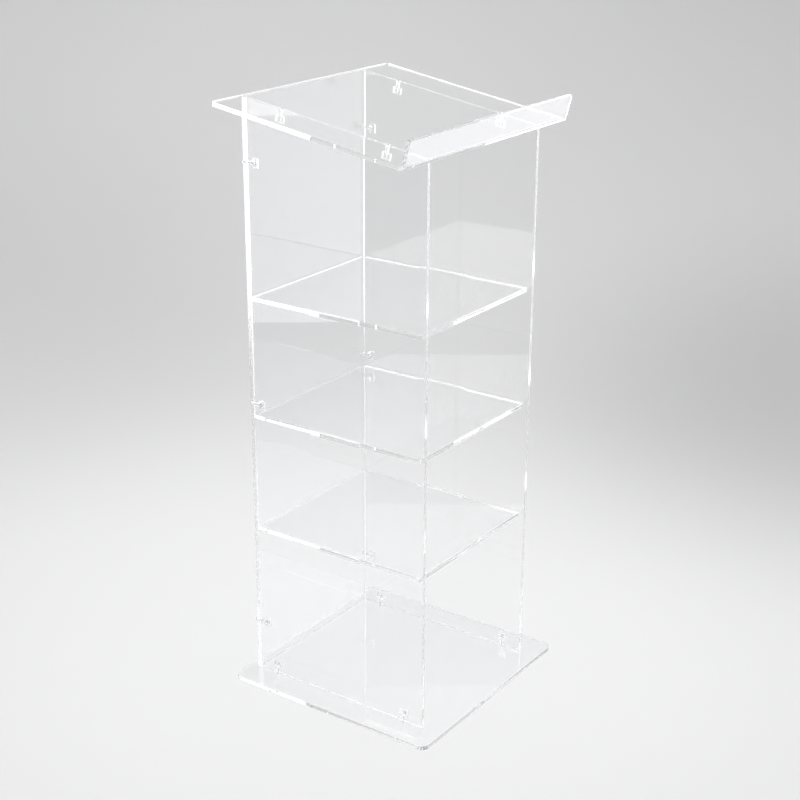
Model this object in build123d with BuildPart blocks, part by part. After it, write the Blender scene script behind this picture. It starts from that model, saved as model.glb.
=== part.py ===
from build123d import *
import math
import os

os.makedirs("parts", exist_ok=True)

# Clear acrylic lectern stand, millimetres.
# +Z is up, +Y points to the audience, -Y is the speaker's open side.
# The origin is the centre of the base plate's underside.

# ---------------------------------------------------------------- sheets
sheet = 8.0                 # every panel is cut from the same sheet
fit_gap = 0.15              # assembly clearance between neighbouring sheets

# ---------------------------------------------------------------- base plate
base_width = 488.0          # X
base_depth = 476.0          # Y
base_corner = 18.0

# ---------------------------------------------------------------- column
column_width = 375.0        # over the outer faces of the side panels
front_overhang = 44.0       # base plate showing on the speaker side
rear_overhang = 19.0        # base plate showing on the audience side
column_front = -base_depth / 2 + front_overhang      # side panels' front edges
column_rear = base_depth / 2 - rear_overhang         # audience panel's outer face
column_middle = (column_front + column_rear) / 2
panel_bottom = sheet + fit_gap
side_rear = column_rear - sheet - fit_gap            # side panels' rear edges
side_middle = (column_front + side_rear) / 2
side_centre_x = column_width / 2 - sheet / 2         # middle of a side panel's thickness

# ---------------------------------------------------------------- shelves
shelf_tops = {"lower": 329.8, "middle": 573.1, "upper": 814.3}
shelf_inset = 11.0          # shelf front edge behind the side panels' front edges
tenon_length = 113.0
slot_clearance = 0.15

# ---------------------------------------------------------------- reading top
top_width = 540.0
top_length = 420.0          # along the slope, from the fold to the audience edge
top_slope = 8.9             # degrees, rising towards the audience
lip_height = 49.0           # along the lip's inner face
lip_angle = 94.9            # between the reading surface and the lip
bend_inner = 4.0
top_corner = 4.0
fold_y = -196.4             # where the reading surface would meet the lip's inner face
fold_z = 1135.2

# ---------------------------------------------------------------- T-slots and fasteners
channel_width = 5.5
channel_length = 12.5
pocket_width = 18.0
pocket_depth = 12.5
top_slots = (88.5, 327.5)   # distance up the slope from the fold
base_slot_half = 159.0      # either side of the side panel's middle
rear_slots = (116.5, 596.5, 1076.5)

shank_radius = 2.5
clearance_radius = 2.75
sink_radius = 5.0
head_radius = 4.8
screw_length = 30.0
pan_radius = 4.75
pan_height = 3.4
drive_width = 1.2
nut_flats = 8.0
nut_height = 4.0
nut_bore = 2.6

slope = math.radians(top_slope)
u = (math.cos(slope), math.sin(slope))               # up the slope, in (Y, Z)
n = (-math.sin(slope), math.cos(slope))              # out of the reading surface
lip_dir = (math.cos(slope + math.radians(lip_angle)), math.sin(slope + math.radians(lip_angle)))
lip_out = (lip_dir[1] * -1.0, lip_dir[0])            # out of the lip's outer face


def on_slope(along, above):
    """(Y, Z) of a point on the sloping frame that starts at the fold."""
    return (fold_y + along * u[0] + above * n[0], fold_z + along * u[1] + above * n[1])


def underside(y, drop):
    """Height of the plane that lies `drop` below the reading surface, at y."""
    return fold_z - drop / math.cos(slope) + (y - fold_y) * math.tan(slope)


base_slots = (side_middle - base_slot_half, side_middle + base_slot_half)
edge_drop = sheet + fit_gap

# ================================================================ base plate
with BuildPart() as base_plate:
    with BuildSketch(Plane.XY):
        RectangleRounded(base_width, base_depth, base_corner)
    extrude(amount=sheet)
    # countersunk from below, so that the plate lies flat on the floor
    with Locations(Plane(origin=(0, 0, 0), x_dir=(1, 0, 0), z_dir=(0, 0, -1))):
        with Locations(*[(x, -y) for x in (-side_centre_x, side_centre_x) for y in base_slots]):
            CounterSinkHole(radius=clearance_radius, counter_sink_radius=sink_radius, counter_sink_angle=90)

# ================================================================ side panels
# one outline for both: drawn in (Y, Z)
with BuildSketch() as side_outline:
    with BuildLine():
        Polyline(
            (column_front, panel_bottom),
            (side_rear, panel_bottom),
            (side_rear, underside(side_rear, edge_drop)),
            (column_front, underside(column_front, edge_drop)),
            close=True,
        )
    make_face()
    # through mortises for the three shelves
    with Locations(*[(column_middle, top - sheet / 2) for top in shelf_tops.values()]):
        Rectangle(tenon_length + 2 * slot_clearance, sheet + 2 * slot_clearance, mode=Mode.SUBTRACT)
    # T-slots in the bottom edge
    with Locations(*[(y, panel_bottom - 1) for y in base_slots]):
        Rectangle(channel_width, channel_length + 1.5, align=(Align.CENTER, Align.MIN), mode=Mode.SUBTRACT)
    with Locations(*[(y, panel_bottom + channel_length) for y in base_slots]):
        Rectangle(pocket_width, pocket_depth, align=(Align.CENTER, Align.MIN), mode=Mode.SUBTRACT)
    # T-slots in the rear edge
    with Locations(*[(side_rear + 1, z) for z in rear_slots]):
        Rectangle(channel_length + 1.5, channel_width, align=(Align.MAX, Align.CENTER), mode=Mode.SUBTRACT)
    with Locations(*[(side_rear - channel_length, z) for z in rear_slots]):
        Rectangle(pocket_depth, pocket_width, align=(Align.MAX, Align.CENTER), mode=Mode.SUBTRACT)
    # T-slots in the sloping top edge, square to the slope
    with Locations(*[on_slope(s, -edge_drop + 1) for s in top_slots]):
        Rectangle(channel_width, channel_length + 1.5, rotation=top_slope,
                  align=(Align.CENTER, Align.MAX), mode=Mode.SUBTRACT)
    with Locations(*[on_slope(s, -edge_drop - channel_length) for s in top_slots]):
        Rectangle(pocket_width, pocket_depth, rotation=top_slope,
                  align=(Align.CENTER, Align.MAX), mode=Mode.SUBTRACT)

with BuildPart() as side_panel_left:
    with BuildSketch(Plane.YZ.offset(-column_width / 2)):
        add(side_outline.sketch)
    extrude(amount=sheet)

with BuildPart() as side_panel_right:
    with BuildSketch(Plane.YZ.offset(column_width / 2 - sheet)):
        add(side_outline.sketch)
    extrude(amount=sheet)

# ================================================================ audience panel
# covers the side panels' rear edges; its top edge is cut square, under the slope
audience_top = underside(column_rear - sheet, edge_drop)
with BuildPart() as audience_panel:
    with BuildSketch(Plane.XZ.offset(-column_rear)):
        with Locations((0, (panel_bottom + audience_top) / 2)):
            Rectangle(column_width, audience_top - panel_bottom)
    extrude(amount=sheet)
    with Locations(Plane(origin=(0, column_rear, 0), x_dir=(1, 0, 0), z_dir=(0, 1, 0))):
        with Locations(*[(x, -z) for x in (-side_centre_x, side_centre_x) for z in rear_slots]):
            Hole(radius=clearance_radius, depth=sheet + 1)

# ================================================================ shelves
# one outline for the three: a rectangle with a tenon on each side, through the side panels
shelf_front = column_front + shelf_inset
shelf_rear = column_rear - sheet - fit_gap
shelf_width = column_width - 2 * sheet - 2 * fit_gap
with BuildSketch() as shelf_outline:
    with Locations((0, (shelf_front + shelf_rear) / 2)):
        Rectangle(shelf_width, shelf_rear - shelf_front)
    with Locations((0, column_middle)):
        Rectangle(column_width, tenon_length)

with BuildPart() as shelf_lower:
    with BuildSketch(Plane.XY.offset(shelf_tops["lower"] - sheet)):
        add(shelf_outline.sketch)
    extrude(amount=sheet)

with BuildPart() as shelf_middle:
    with BuildSketch(Plane.XY.offset(shelf_tops["middle"] - sheet)):
        add(shelf_outline.sketch)
    extrude(amount=sheet)

with BuildPart() as shelf_upper:
    with BuildSketch(Plane.XY.offset(shelf_tops["upper"] - sheet)):
        add(shelf_outline.sketch)
    extrude(amount=sheet)

# ================================================================ reading top
# one sheet, line-bent along its speaker edge into an upturned lip
fold = (fold_y, fold_z)
lip_tip = (fold_y + lip_height * lip_dir[0], fold_z + lip_height * lip_dir[1])
lip_tip_out = (lip_tip[0] + sheet * lip_out[0], lip_tip[1] + sheet * lip_out[1])
half_turn = math.radians(180 - lip_angle) / 2
fold_out = on_slope(-sheet * math.tan(half_turn), -sheet)
top_plane = Plane(origin=(0, fold_y, fold_z), x_dir=(1, 0, 0), z_dir=(0, n[0], n[1]))
with BuildPart() as reading_top:
    with BuildSketch(Plane.YZ.offset(-top_width / 2)):
        with BuildLine():
            Polyline(
                fold,
                on_slope(top_length, 0),
                on_slope(top_length, -sheet),
                fold_out,
                lip_tip_out,
                lip_tip,
                close=True,
            )
        make_face()
    extrude(amount=top_width)
    fold_edges = reading_top.edges().filter_by(Axis.X)
    fillet(fold_edges.sort_by_distance((0, fold[0], fold[1]))[0], bend_inner)
    fold_edges = reading_top.edges().filter_by(Axis.X)
    fillet(fold_edges.sort_by_distance((0, fold_out[0], fold_out[1]))[0], bend_inner + sheet)
    corners = reading_top.edges().filter_by(GeomType.LINE).filter_by(
        lambda e: abs(e.length - sheet) < 0.01 and abs(abs(e.center().X) - top_width / 2) < 0.01)
    fillet(corners, top_corner)
    with Locations(top_plane):
        with Locations(*[(x, s) for x in (-side_centre_x, side_centre_x) for s in top_slots]):
            CounterSinkHole(radius=clearance_radius, counter_sink_radius=sink_radius, counter_sink_angle=90,
                            depth=sheet + 1)

# ================================================================ fasteners
# Countersunk slotted screws, flush with the sheet they pass through.
sink_depth = 0.2            # heads sit just under the surface
top_screw_points = [(x, s) for x in (-side_centre_x, side_centre_x) for s in top_slots]
base_screw_points = [(x, -y) for x in (-side_centre_x, side_centre_x) for y in base_slots]
rear_screw_points = [(x, -z) for x in (-side_centre_x, side_centre_x) for z in rear_slots]

top_head_plane = top_plane.offset(-sink_depth)
with BuildPart() as top_screws:
    with BuildSketch(top_head_plane):
        with Locations(*top_screw_points):
            Circle(head_radius - sink_depth)
    extrude(amount=-(head_radius - sink_depth - shank_radius), taper=45)
    with BuildSketch(top_head_plane):
        with Locations(*top_screw_points):
            Circle(shank_radius)
    extrude(amount=-screw_length)
    tips = top_screws.edges().filter_by(GeomType.CIRCLE).group_by(Axis(top_plane.origin, top_plane.z_dir))[0]
    chamfer(tips, 0.5)
    with BuildSketch(top_head_plane):
        with Locations(*top_screw_points):
            Rectangle(2 * head_radius + 1, drive_width, rotation=35)
    extrude(amount=-1.1, mode=Mode.SUBTRACT)

base_head_plane = Plane(origin=(0, 0, sink_depth), x_dir=(1, 0, 0), z_dir=(0, 0, -1))
with BuildPart() as base_screws:
    with BuildSketch(base_head_plane):
        with Locations(*base_screw_points):
            Circle(head_radius - sink_depth)
    extrude(amount=-(head_radius - sink_depth - shank_radius), taper=45)
    with BuildSketch(base_head_plane):
        with Locations(*base_screw_points):
            Circle(shank_radius)
    extrude(amount=-screw_length)
    tips = base_screws.edges().filter_by(GeomType.CIRCLE).group_by(Axis.Z)[-1]
    chamfer(tips, 0.5)
    with BuildSketch(base_head_plane):
        with Locations(*base_screw_points):
            Rectangle(2 * head_radius + 1, drive_width, rotation=-20)
    extrude(amount=-1.1, mode=Mode.SUBTRACT)

# Pan-head slotted screws through the audience panel, heads standing on its outer face.
rear_head_plane = Plane(origin=(0, column_rear + fit_gap, 0), x_dir=(1, 0, 0), z_dir=(0, 1, 0))
with BuildPart() as rear_screws:
    with BuildSketch(rear_head_plane):
        with Locations(*rear_screw_points):
            Circle(pan_radius)
    extrude(amount=pan_height)
    fillet(rear_screws.faces().sort_by(Axis.Y)[-len(rear_screw_points):].edges(), 1.2)
    with BuildSketch(rear_head_plane):
        with Locations(*rear_screw_points):
            Circle(shank_radius)
    extrude(amount=-screw_length)
    tips = rear_screws.edges().filter_by(GeomType.CIRCLE).group_by(Axis.Y)[0]
    chamfer(tips, 0.5)
    with BuildSketch(rear_head_plane.offset(pan_height)):
        with Locations(*rear_screw_points):
            Rectangle(2 * pan_radius + 1, drive_width, rotation=15)
    extrude(amount=-1.5, mode=Mode.SUBTRACT)

# Hexagon nuts held in the T-slots' pockets, two flats level with the sheet's faces.
seat = channel_length + fit_gap
with BuildPart() as top_nuts:
    with BuildSketch(top_plane.offset(-edge_drop - seat)):
        with Locations(*top_screw_points):
            RegularPolygon(radius=nut_flats / 2, side_count=6, major_radius=False, rotation=30)
            Circle(nut_bore, mode=Mode.SUBTRACT)
    extrude(amount=-nut_height)

with BuildPart() as base_nuts:
    with BuildSketch(Plane.XY.offset(panel_bottom + seat)):
        with Locations(*[(x, -y) for x, y in base_screw_points]):
            RegularPolygon(radius=nut_flats / 2, side_count=6, major_radius=False, rotation=30)
            Circle(nut_bore, mode=Mode.SUBTRACT)
    extrude(amount=nut_height)

with BuildPart() as rear_nuts:
    with BuildSketch(Plane(origin=(0, side_rear - seat, 0), x_dir=(1, 0, 0), z_dir=(0, 1, 0))):
        with Locations(*rear_screw_points):
            RegularPolygon(radius=nut_flats / 2, side_count=6, major_radius=False, rotation=30)
            Circle(nut_bore, mode=Mode.SUBTRACT)
    extrude(amount=-nut_height)

# ================================================================ names and files
base_plate.part.label = "base_plate"
side_panel_left.part.label = "side_panel_left"
side_panel_right.part.label = "side_panel_right"
audience_panel.part.label = "audience_panel"
shelf_lower.part.label = "shelf_lower"
shelf_middle.part.label = "shelf_middle"
shelf_upper.part.label = "shelf_upper"
reading_top.part.label = "reading_top"
top_screws.part.label = "top_screws"
base_screws.part.label = "base_screws"
rear_screws.part.label = "rear_screws"
top_nuts.part.label = "top_nuts"
base_nuts.part.label = "base_nuts"
rear_nuts.part.label = "rear_nuts"

export_step(base_plate.part, "parts/base_plate.step")
export_step(side_panel_left.part, "parts/side_panel_left.step")
export_step(side_panel_right.part, "parts/side_panel_right.step")
export_step(audience_panel.part, "parts/audience_panel.step")
export_step(shelf_lower.part, "parts/shelf_lower.step")
export_step(shelf_middle.part, "parts/shelf_middle.step")
export_step(shelf_upper.part, "parts/shelf_upper.step")
export_step(reading_top.part, "parts/reading_top.step")
export_step(top_screws.part, "parts/top_screws.step")
export_step(base_screws.part, "parts/base_screws.step")
export_step(rear_screws.part, "parts/rear_screws.step")
export_step(top_nuts.part, "parts/top_nuts.step")
export_step(base_nuts.part, "parts/base_nuts.step")
export_step(rear_nuts.part, "parts/rear_nuts.step")
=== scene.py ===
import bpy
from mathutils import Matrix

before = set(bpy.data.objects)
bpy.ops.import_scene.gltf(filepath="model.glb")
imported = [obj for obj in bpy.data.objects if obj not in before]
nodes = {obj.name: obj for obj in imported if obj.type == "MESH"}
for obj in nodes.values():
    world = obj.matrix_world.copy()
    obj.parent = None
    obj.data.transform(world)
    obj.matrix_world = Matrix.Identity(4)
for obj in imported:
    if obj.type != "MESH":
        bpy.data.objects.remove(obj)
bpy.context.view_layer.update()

import math

import bpy
from mathutils import Matrix, Vector

scene = bpy.context.scene


# ------------------------------------------------------------------ node helpers
def material(name):
    m = bpy.data.materials.new(name)
    m.use_nodes = True
    m.node_tree.nodes.clear()
    return m, m.node_tree.nodes, m.node_tree.links


def node(nodes_, kind, **settings):
    n = nodes_.new(kind)
    for key, value in settings.items():
        if key.startswith("in_"):
            n.inputs[key[3:].replace("_", " ")].default_value = value
        else:
            setattr(n, key, value)
    return n


def let_light_through(ns, ls, surface, tint):
    """Rays from lamps and from matt surfaces pass straight through, so the clear sheet throws only a pale shadow."""
    path = node(ns, "ShaderNodeLightPath")
    either = node(ns, "ShaderNodeMath", operation="MAXIMUM")
    ls.new(path.outputs["Is Shadow Ray"], either.inputs[0])
    ls.new(path.outputs["Is Diffuse Ray"], either.inputs[1])
    clear = node(ns, "ShaderNodeBsdfTransparent", in_Color=tint)
    mix = node(ns, "ShaderNodeMixShader")
    ls.new(either.outputs[0], mix.inputs[0])
    ls.new(surface, mix.inputs[1])
    ls.new(clear.outputs[0], mix.inputs[2])
    out = node(ns, "ShaderNodeOutputMaterial")
    ls.new(mix.outputs[0], out.inputs["Surface"])
    return out


class Sheet:
    """Builds one clear material: hand-polished or moulded clear plastic whose finish changes over the piece."""

    def __init__(self, name):
        self.m, self.ns, self.ls = material(name)
        self.where = node(self.ns, "ShaderNodeTexCoord")

    def math(self, operation, a, b=0.0, clamp=False):
        n = node(self.ns, "ShaderNodeMath", operation=operation, use_clamp=clamp)
        for i, v in enumerate((a, b)):
            if isinstance(v, (int, float)):
                n.inputs[i].default_value = v
            else:
                self.ls.new(v, n.inputs[i])
        return n.outputs[0]

    def along(self, vector, direction):
        """How far a vector reaches along a direction."""
        n = node(self.ns, "ShaderNodeVectorMath", operation="DOT_PRODUCT")
        self.ls.new(vector, n.inputs[0])
        n.inputs[1].default_value = direction
        return n.outputs["Value"]

    def place(self, stretch=(1, 1, 1), turn=(0, 0, 0)):
        n = node(self.ns, "ShaderNodeMapping")
        n.inputs["Scale"].default_value = stretch
        n.inputs["Rotation"].default_value = turn
        self.ls.new(self.where.outputs["Object"], n.inputs["Vector"])
        return n.outputs[0]

    def noise(self, at, scale, detail=2.0, rough=0.5):
        n = node(self.ns, "ShaderNodeTexNoise", in_Scale=scale, in_Detail=detail, in_Roughness=rough)
        self.ls.new(at, n.inputs["Vector"])
        return n.outputs["Fac"]

    def span(self, value, low, high, to_low=0.0, to_high=1.0):
        n = node(self.ns, "ShaderNodeMapRange", in_From_Min=low, in_From_Max=high, in_To_Min=to_low, in_To_Max=to_high)
        self.ls.new(value, n.inputs["Value"])
        return n.outputs[0]

    def bump(self, height, distance, strength=1.0, on=None):
        n = node(self.ns, "ShaderNodeBump", in_Strength=strength, in_Distance=distance)
        self.ls.new(height, n.inputs["Height"])
        if on is not None:
            self.ls.new(on, n.inputs["Normal"])
        return n.outputs[0]

    def finish(self, colour, ior, roughness, normal, tint):
        body = node(self.ns, "ShaderNodeBsdfPrincipled", in_Base_Color=colour, in_IOR=ior, in_Transmission_Weight=1.0)
        self.ls.new(roughness, body.inputs["Roughness"])
        self.ls.new(normal, body.inputs["Normal"])
        let_light_through(self.ns, self.ls, body.outputs[0], tint)
        return self.m


def acrylic(name, faces, middle, half, seed, cut):
    """Cast sheet. faces lists the directions its broad faces look in; middle and half place its outline.
    The broad faces are glossy with the slow waviness of cast sheet, faint hairlines and a few rubbed patches.
    The cut edges carry fine saw and polishing lines across their thickness, and the arrises are slightly rubbed.
    cut is how matt the upright edges are; a panel's top edge, out of sight under the reading top, is left as sawn."""
    sawn = 0.30 if name.endswith("_panel") or "_panel_" in name else 0.0
    s = Sheet(name)
    facing = None
    for direction in faces:
        one = s.math("ABSOLUTE", s.along(s.where.outputs["Normal"], direction))
        facing = one if facing is None else s.math("MAXIMUM", facing, one)
    edge = s.span(facing, 0.45, 0.75, 1.0, 0.0)
    # hairlines: noise drawn out long in two directions, thresholded to a few thin lines
    turned = s.place((90, 3.5, 90), (0.3, 0.2, 0.5 + seed))
    crossed = s.place((4, 110, 4), (0.1, 0.6, -0.4 + seed))
    hair = s.math("MAXIMUM", s.span(s.noise(turned, 1.0, 3.0, 0.6), 0.70, 0.78), s.span(s.noise(crossed, 1.0, 3.0, 0.6), 0.71, 0.79))
    rubbed = s.span(s.noise(s.place(), 7.0 + seed, 4.0, 0.6), 0.56, 0.74)
    # polishing lines on the edges: fine bands that stand across the sheet's thickness
    lines = s.noise(s.place((1, 1, 1)), 900.0, 3.0, 0.7)
    swirl = s.noise(s.place(), 70.0, 3.0, 0.6)
    # arrises: the places within about half a millimetre of two sides of the outline at once
    apart = node(s.ns, "ShaderNodeSeparateXYZ")
    s.ls.new(s.where.outputs["Object"], apart.inputs[0])
    near = []
    for i in range(3):
        reach = s.math("ABSOLUTE", s.math("SUBTRACT", apart.outputs[i], middle[i]))
        near.append(s.span(s.math("SUBTRACT", half[i], reach), 0.00015, 0.0007, 1.0, 0.0))
    two = s.math("MAXIMUM", s.math("MULTIPLY", near[0], near[1]), s.math("MULTIPLY", near[1], near[2]))
    two = s.math("MAXIMUM", two, s.math("MULTIPLY", near[0], near[2]))
    arris = s.math("MULTIPLY", two, s.span(s.noise(s.place(), 160.0, 3.0, 0.6), 0.35, 0.65))
    face_rough = s.math("ADD", s.math("MULTIPLY", rubbed, 0.010), s.math("MULTIPLY", hair, 0.05))
    height = s.along(s.where.outputs["Normal"], (0.0, 0.0, 1.0))
    edge_rough = s.math("ADD", 0.012, s.math("MULTIPLY", swirl, 0.02))
    edge_rough = s.math("ADD", edge_rough, s.span(s.math("ABSOLUTE", height), 0.8, 0.95, cut, 0.0))
    edge_rough = s.math("ADD", edge_rough, s.math("MULTIPLY", s.span(height, 0.8, 0.95), sawn))
    gap = s.math("SUBTRACT", edge_rough, face_rough)
    rough = s.math("ADD", face_rough, s.math("MULTIPLY", edge, gap))
    rough = s.math("ADD", rough, s.math("MULTIPLY", arris, 0.25), clamp=True)
    wave = s.bump(s.noise(s.place(), 5.0, 1.0, 0.4), 0.00004)
    fine = s.bump(s.math("MULTIPLY", edge, s.math("ADD", s.math("MULTIPLY", lines, 0.15), swirl)), 0.000012, on=wave)
    fine = s.bump(s.math("MULTIPLY", arris, swirl), 0.0001, on=fine)
    return s.finish((0.996, 0.998, 1.0, 1), 1.49, rough, fine, (0.996, 0.9965, 0.997, 1))


def moulded(name, axis, seed):
    """Clear moulded plastic of the screws and nuts: a little frosted, threads as fine rings about the screw's own axis."""
    s = Sheet(name)
    down = s.along(s.where.outputs["Object"], axis)
    ring = s.math("SINE", s.math("MULTIPLY", down, 2 * math.pi / 0.0008))
    sideways = s.math("ABSOLUTE", s.along(s.where.outputs["Normal"], axis))
    barrel = s.span(sideways, 0.2, 0.5, 1.0, 0.0)
    skin = s.noise(s.place(), 600.0 + seed, 3.0, 0.6)
    rough = s.span(skin, 0.3, 0.7, 0.03, 0.12)
    thread = s.bump(s.math("MULTIPLY", barrel, ring), 0.00012)
    skinned = s.bump(skin, 0.00003, on=thread)
    return s.finish((0.985, 0.988, 0.99, 1), 1.52, rough, skinned, (0.95, 0.952, 0.955, 1))


slope = math.radians(8.9)
lean = math.radians(94.9)
up_slope = (0.0, -math.sin(slope), math.cos(slope))
out_of_lip = (0.0, -math.sin(lean), math.cos(lean))
for i, (name, ob) in enumerate(sorted(nodes.items())):
    low = [min(v.co[k] for v in ob.data.vertices) for k in range(3)]
    high = [max(v.co[k] for v in ob.data.vertices) for k in range(3)]
    middle = [(l + h) / 2 for l, h in zip(low, high)]
    half = [(h - l) / 2 for l, h in zip(low, high)]
    seed = 0.37 * i
    if name.endswith(("_screws", "_nuts")):
        axis = {"top": up_slope, "base": (0.0, 0.0, 1.0), "rear": (0.0, 1.0, 0.0)}[name.split("_")[0]]
        finish = moulded("clear_moulded_" + name, axis, seed)
    elif name == "reading_top":
        finish = acrylic("cast_acrylic_" + name, [up_slope, out_of_lip], middle, half, seed, 0.0)
    else:
        thin = half.index(min(half))
        if name.startswith("shelf"):
            thin = 2
        finish = acrylic("cast_acrylic_" + name, [tuple(float(k == thin) for k in range(3))], middle, half, seed,
                         0.22 if thin < 2 else 0.0)
    for k in range(len(ob.material_slots)):
        ob.material_slots[k].material = finish

# ------------------------------------------------------------------ floor and cove
def cove(floor_radius, sweep, top, steps=24, turns=128):
    profile = [(0.0, 0.0), (floor_radius * 0.5, 0.0)]
    for i in range(steps + 1):
        a = math.pi / 2 * i / steps
        profile.append((floor_radius + sweep * math.sin(a), sweep * (1 - math.cos(a))))
    profile.append((floor_radius + sweep, top))
    verts, faces = [(0, 0, 0)], []
    for r, z in profile[1:]:
        for k in range(turns):
            t = 2 * math.pi * k / turns
            verts.append((r * math.cos(t), r * math.sin(t), z))
    for k in range(turns):
        faces.append((0, 1 + k, 1 + (k + 1) % turns))
    for j in range(len(profile) - 2):
        a0, b0 = 1 + j * turns, 1 + (j + 1) * turns
        for k in range(turns):
            faces.append((a0 + k, b0 + k, b0 + (k + 1) % turns, a0 + (k + 1) % turns))
    mesh = bpy.data.meshes.new("studio_cove")
    mesh.from_pydata(verts, [], faces)
    mesh.update()
    for p in mesh.polygons:
        p.use_smooth = True
    ob = bpy.data.objects.new("studio_cove", mesh)
    scene.collection.objects.link(ob)
    return ob


studio = cove(1.5, 3.0, 4.6)
studio.location = (0, 0, -0.0006)
paper, ns, ls = material("studio_paper")
where = node(ns, "ShaderNodeTexCoord")


def painted_light_pool(centre, reach, shade):
    """A round, soft-edged patch of the paper around one point whose colour is painted a little lighter or darker than
    the rest: painted light or painted shade, not cast by any lamp.
    """
    place = node(ns, "ShaderNodeMapping", vector_type="TEXTURE")
    place.inputs["Location"].default_value = centre
    place.inputs["Scale"].default_value = (reach, reach, reach)
    ls.new(where.outputs["Object"], place.inputs["Vector"])
    ball = node(ns, "ShaderNodeTexGradient", gradient_type="SPHERICAL")
    ls.new(place.outputs[0], ball.inputs[0])
    fade = node(ns, "ShaderNodeMapRange", interpolation_type="SMOOTHERSTEP", in_To_Min=1.0, in_To_Max=shade)
    ls.new(ball.outputs["Fac"], fade.inputs["Value"])
    return fade.outputs[0]


def times(a, b):
    product = node(ns, "ShaderNodeMath", operation="MULTIPLY")
    ls.new(a, product.inputs[0])
    ls.new(b, product.inputs[1])
    return product.outputs[0]


mottle = node(ns, "ShaderNodeTexNoise", in_Scale=0.9, in_Detail=3.0)
ls.new(where.outputs["Object"], mottle.inputs["Vector"])
fibre = node(ns, "ShaderNodeTexNoise", in_Scale=420.0, in_Detail=4.0, in_Roughness=0.7)
ls.new(where.outputs["Object"], fibre.inputs["Vector"])
cloud = node(ns, "ShaderNodeMapRange", in_From_Min=0.3, in_From_Max=0.7, in_To_Min=0.985, in_To_Max=1.0)
ls.new(mottle.outputs["Fac"], cloud.inputs["Value"])
speck = node(ns, "ShaderNodeMapRange", in_From_Min=0.3, in_From_Max=0.7, in_To_Min=0.992, in_To_Max=1.0)
ls.new(fibre.outputs["Fac"], speck.inputs["Value"])
paper_tone_and_painted_light = times(cloud.outputs[0], speck.outputs[0])
# painted light and shade in the paper colour: a painted shade patch on the floor to the right, a painted pool of light
# on the cove wall behind, and a fainter painted shade patch on the floor behind
paper_tone_and_painted_light = times(paper_tone_and_painted_light, painted_light_pool((1.9, -0.25, 0.0), 1.6, 0.74))
paper_tone_and_painted_light = times(paper_tone_and_painted_light, painted_light_pool((3.4, 3.0, 1.0), 3.4, 1.24))
paper_tone_and_painted_light = times(paper_tone_and_painted_light, painted_light_pool((0.9, 2.2, 0.0), 1.7, 0.90))
tone = node(ns, "ShaderNodeVectorMath", operation="SCALE")
tone.inputs[0].default_value = (0.80, 0.80, 0.803)
ls.new(paper_tone_and_painted_light, tone.inputs["Scale"])
grain = node(ns, "ShaderNodeBump", in_Strength=0.08, in_Distance=0.0002)
ls.new(fibre.outputs["Fac"], grain.inputs["Height"])
matt = node(ns, "ShaderNodeBsdfPrincipled", in_Roughness=0.9, in_Specular_IOR_Level=0.1)
ls.new(tone.outputs[0], matt.inputs["Base Color"])
ls.new(grain.outputs[0], matt.inputs["Normal"])
out = node(ns, "ShaderNodeOutputMaterial")
ls.new(matt.outputs[0], out.inputs["Surface"])
studio.data.materials.append(paper)

# ------------------------------------------------------------------ light
world = bpy.data.worlds.new("studio_air")
scene.world = world
world.use_nodes = True
world.node_tree.nodes["Background"].inputs["Color"].default_value = (1.0, 1.0, 1.0, 1)
world.node_tree.nodes["Background"].inputs["Strength"].default_value = 0.475


def softbox(name, at, aim, size, power, colour=(1, 1, 1)):
    data = bpy.data.lights.new(name, "AREA")
    data.shape, data.size, data.size_y = "RECTANGLE", size[0], size[1]
    data.energy, data.color = power, colour
    ob = bpy.data.objects.new(name, data)
    ob.location = at
    ob.rotation_mode = "QUATERNION"
    ob.rotation_quaternion = (Vector(aim) - Vector(at)).to_track_quat("-Z", "Y")
    scene.collection.objects.link(ob)
    return ob


overhead = softbox("overhead", (0.1, 0.15, 3.0), (0.0, 0.0, 0.0), (2.0, 2.0), 73)
overhead.visible_glossy = False  # seen from high up, its hard square would otherwise hide the shelves
# boxes beside and behind the stand: they are what its faces mirror and what its cut edges pick up
for name, at, size, power, colour in (
        ("side_right", (0.950, -0.733, 1.09), (0.90, 1.62), 6.5, (0.96, 0.955, 1.0)),
        ("side_left", (-0.980, 0.690, 1.50), (1.00, 1.04), 10.4, (1, 1, 1))):
    box = softbox(name, at, (0.0, 0.0, at[2]), size, power, colour)
    box.visible_diffuse = False
    box.visible_camera = False

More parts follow.
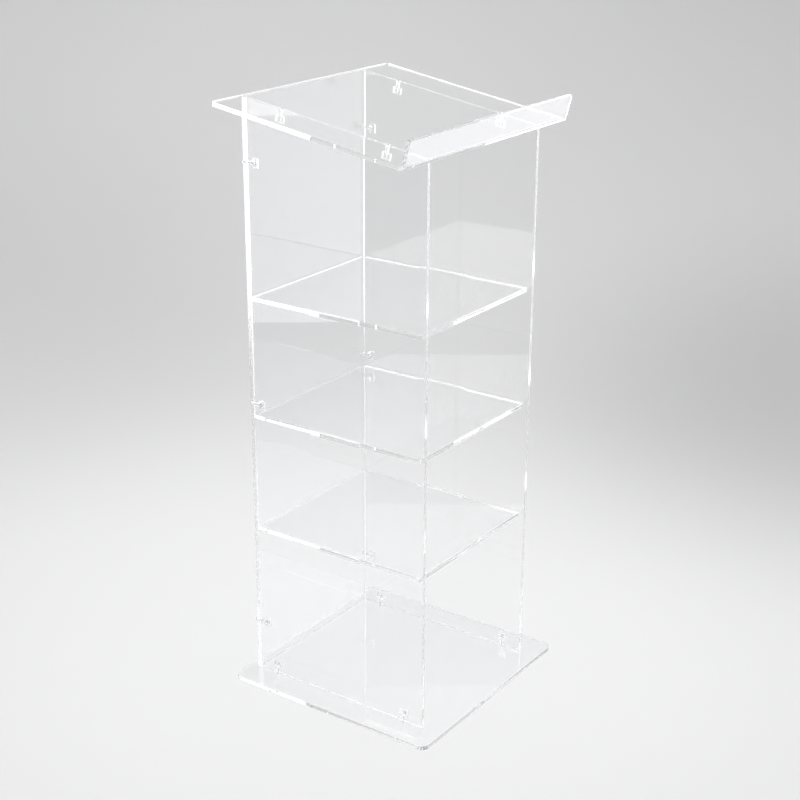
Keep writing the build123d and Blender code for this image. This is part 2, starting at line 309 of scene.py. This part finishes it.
# a soft-edged glow high up behind the stand, which only the sheets mirror
glow_mesh = bpy.data.meshes.new("studio_glow")
glow_mesh.from_pydata([(-2.3, -2.3, 0), (2.3, -2.3, 0), (2.3, 2.3, 0), (-2.3, 2.3, 0)], [], [(0, 1, 2, 3)])
glow = bpy.data.objects.new("studio_glow", glow_mesh)
glow.location = (2.35, 1.25, 2.85)
glow.rotation_mode = "QUATERNION"
glow.rotation_quaternion = (Vector((0.0, 0.0, 1.3)) - glow.location).to_track_quat("Z", "Y")
scene.collection.objects.link(glow)
lit, ns, ls = material("studio_glow")
where = node(ns, "ShaderNodeTexCoord")
place = node(ns, "ShaderNodeMapping", vector_type="TEXTURE")
place.inputs["Scale"].default_value = (2.0, 2.2, 1.0)
ls.new(where.outputs["Object"], place.inputs["Vector"])
ball = node(ns, "ShaderNodeTexGradient", gradient_type="SPHERICAL")
ls.new(place.outputs[0], ball.inputs[0])
fade = node(ns, "ShaderNodeMapRange", interpolation_type="SMOOTHERSTEP", in_From_Max=0.75)
ls.new(ball.outputs["Fac"], fade.inputs["Value"])
shine = node(ns, "ShaderNodeEmission", in_Strength=0.75)
gone = node(ns, "ShaderNodeBsdfTransparent")
mix = node(ns, "ShaderNodeMixShader")
ls.new(fade.outputs[0], mix.inputs[0])
ls.new(gone.outputs[0], mix.inputs[1])
ls.new(shine.outputs[0], mix.inputs[2])
out = node(ns, "ShaderNodeOutputMaterial")
ls.new(mix.outputs[0], out.inputs["Surface"])
glow_mesh.materials.append(lit)
glow.visible_camera = False
glow.visible_diffuse = False
glow.visible_shadow = False

# ------------------------------------------------------------------ camera
eye = Vector((-2.3854, -1.6792, 1.7140))
aim = Vector((0.0038, -0.0047, 0.5936))
roll = math.radians(0.28)
forward = (aim - eye).normalized()
right = forward.cross(Vector((0, 0, 1))).normalized()
up = right.cross(forward)
right2 = math.cos(roll) * right + math.sin(roll) * up
up2 = -math.sin(roll) * right + math.cos(roll) * up
lens = bpy.data.cameras.new("camera")
lens.lens, lens.sensor_width = 71.02, 36.0
lens.clip_start, lens.clip_end = 0.05, 60.0
camera = bpy.data.objects.new("camera", lens)
rows = Matrix((right2, up2, -forward)).transposed().to_4x4()
camera.matrix_world = Matrix.Translation(eye) @ rows
scene.collection.objects.link(camera)
scene.camera = camera

# ------------------------------------------------------------------ how light is followed through clear sheet
scene.cycles.max_bounces = 1024
scene.cycles.transmission_bounces = 1024
scene.cycles.glossy_bounces = 256
scene.cycles.diffuse_bounces = 3
scene.cycles.transparent_max_bounces = 256
scene.cycles.caustics_reflective = False
scene.cycles.caustics_refractive = False
scene.view_settings.view_transform = "Standard"
